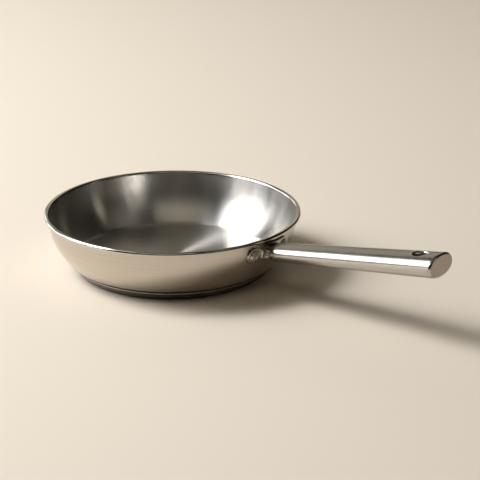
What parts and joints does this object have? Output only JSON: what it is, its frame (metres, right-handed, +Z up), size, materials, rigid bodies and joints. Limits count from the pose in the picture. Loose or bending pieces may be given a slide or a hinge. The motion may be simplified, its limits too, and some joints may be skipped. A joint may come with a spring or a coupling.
{
  "type": "frying pan",
  "caption": "Shallow round steel frying pan with flared walls, a rolled rim, a layered base and a long hollow oval handle on a riveted bracket, pierced for hanging.",
  "frame": {"origin": "centre of the flat underside, on the surface that the pan stands on", "axes": "+X from the middle of the pan along the handle, +Z up, +Y to the left when looking along the handle away from the pan"},
  "size_m": [0.4347, 0.2494, 0.0832],
  "materials": {
    "bowl_steel": "satin brushed stainless steel, brushed round the pan",
    "base_steel": "fine brushed magnetic stainless steel",
    "core_aluminium": "plain pressed aluminium, hidden",
    "bracket_steel": "satin stamped stainless steel",
    "rivet_steel": "bright pressed stainless steel",
    "handle_steel": "bright satin stainless steel, polished along the handle",
    "end_steel": "satin stainless steel"
  },
  "bodies": {
    "root": {"pan_body": "bowl_steel", "base_core": "core_aluminium", "base_cap": "base_steel", "handle_bracket": "bracket_steel", "rivet_left": "rivet_steel", "rivet_right": "rivet_steel", "handle_tube": "handle_steel", "handle_end_cap": "end_steel", "hang_sleeve": "handle_steel"}
  },
  "joints": []
}
